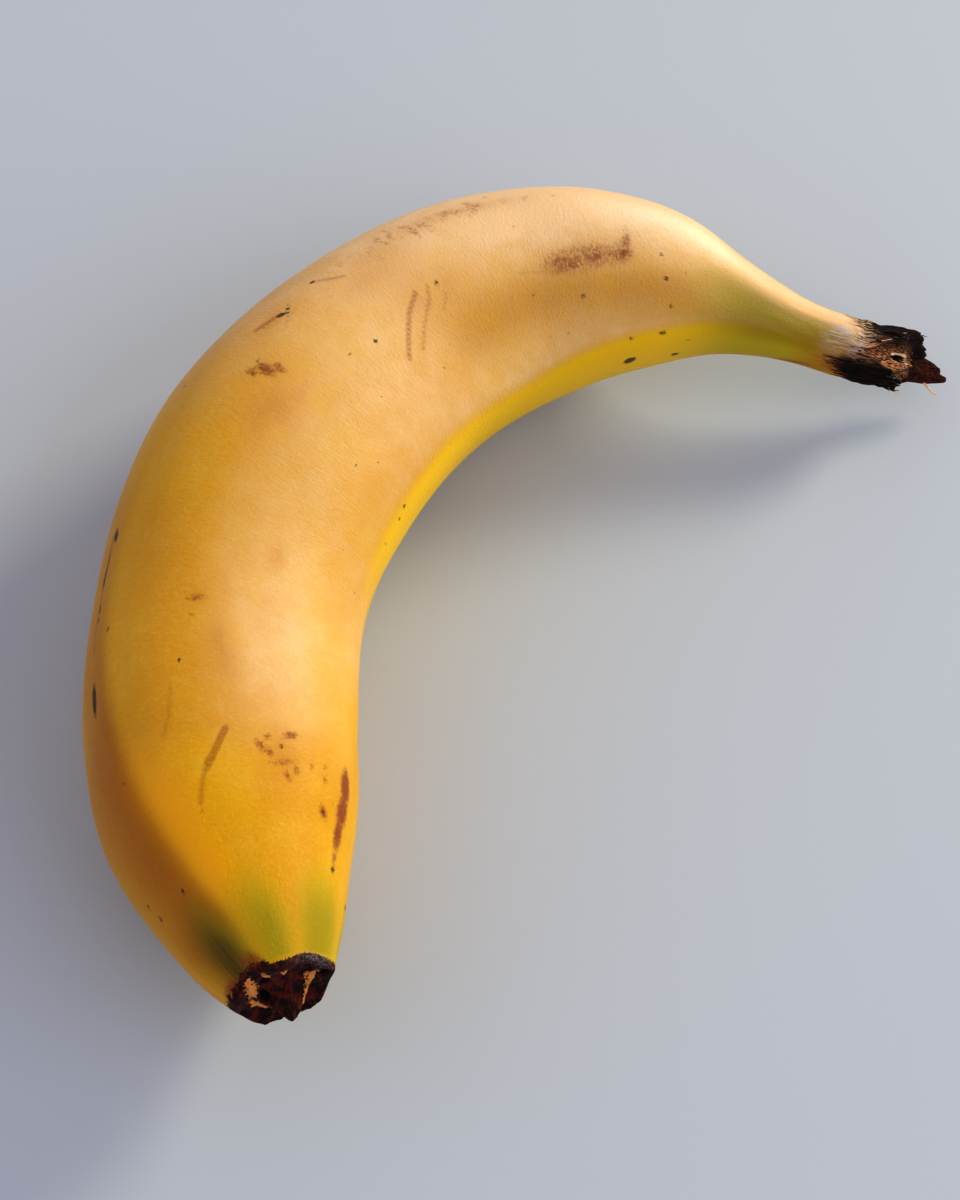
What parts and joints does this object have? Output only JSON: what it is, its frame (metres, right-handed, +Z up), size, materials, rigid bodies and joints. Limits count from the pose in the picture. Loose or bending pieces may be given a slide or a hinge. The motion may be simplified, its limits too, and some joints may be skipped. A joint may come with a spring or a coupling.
{
  "type": "banana",
  "caption": "Ripe banana lying on its side, a curved ridged fruit in its peel with a torn stalk stub and a dry blossom scar.",
  "frame": {"origin": "on the table under the middle of the fruit's bounding box", "axes": "+X from the blossom end to the stalk stub, +Y towards the outside of the bend, +Z up from the table the fruit lies on"},
  "size_m": [0.1478, 0.0786, 0.0363],
  "materials": {
    "peel": "smooth waxy fruit peel, golden yellow with green shades at both ends, brown freckles and scratches, nearly black at the stub and the scar"
  },
  "bodies": {
    "root": {"banana": "peel"}
  },
  "joints": []
}
